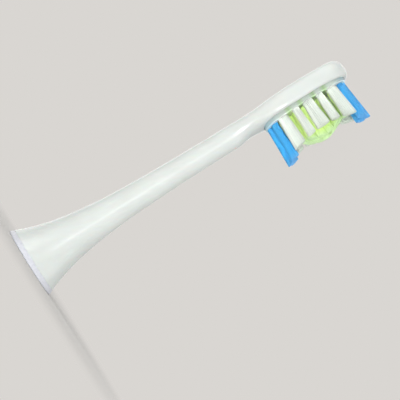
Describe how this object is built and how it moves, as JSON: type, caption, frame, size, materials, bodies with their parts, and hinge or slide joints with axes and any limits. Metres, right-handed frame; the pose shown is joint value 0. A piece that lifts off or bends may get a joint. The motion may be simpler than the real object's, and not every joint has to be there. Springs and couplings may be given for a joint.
{
  "type": "electric toothbrush head",
  "caption": "Push-on sonic toothbrush head: flared hollow base with a drive socket, slim tapering neck, and an oval head with a plate of nylon tufts trimmed to different lengths.",
  "frame": {"origin": "centre of the base ring's flat foot, on the surface that the head stands on", "axes": "+Z along the neck from the foot to the tip, bristles towards -Y, X across the head"},
  "size_m": [0.0162, 0.0205, 0.0815],
  "materials": {
    "shell_white": "glossy moulded white",
    "ring_pale": "satin moulded pale blue white",
    "socket_grey": "matt moulded light grey",
    "spring_steel": "rolled strip",
    "plate_clear_white": "slightly translucent white",
    "bristle_blue": "nylon filament",
    "bristle_white": "nylon filament",
    "bristle_green": "nylon filament"
  },
  "bodies": {
    "root": {"base_ring": "ring_pale", "centre_tuft_01": "bristle_green", "centre_tuft_02": "bristle_green", "centre_tuft_03": "bristle_green", "centre_tuft_04": "bristle_green", "centre_tuft_05": "bristle_green", "centre_tuft_06": "bristle_green", "centre_tuft_07": "bristle_green", "centre_tuft_08": "bristle_green", "centre_tuft_09": "bristle_green", "centre_tuft_10": "bristle_green", "centre_tuft_11": "bristle_green", "centre_tuft_12": "bristle_green", "centre_tuft_13": "bristle_green", "centre_tuft_14": "bristle_green", "centre_tuft_15": "bristle_green", "drive_socket": "socket_grey", "end_tuft_neck_1": "bristle_blue", "end_tuft_neck_2": "bristle_blue", "end_tuft_neck_3": "bristle_blue", "end_tuft_tip_1": "bristle_blue", "end_tuft_tip_2": "bristle_blue", "end_tuft_tip_3": "bristle_blue", "neck_shell": "shell_white", "shaft_spring": "spring_steel", "side_tuft_left_1": "bristle_white", "side_tuft_left_2": "bristle_white", "side_tuft_left_3": "bristle_white", "side_tuft_left_4": "bristle_white", "side_tuft_left_5": "bristle_white", "side_tuft_right_1": "bristle_white", "side_tuft_right_2": "bristle_white", "side_tuft_right_3": "bristle_white", "side_tuft_right_4": "bristle_white", "side_tuft_right_5": "bristle_white", "tuft_plate": "plate_clear_white"}
  },
  "joints": []
}
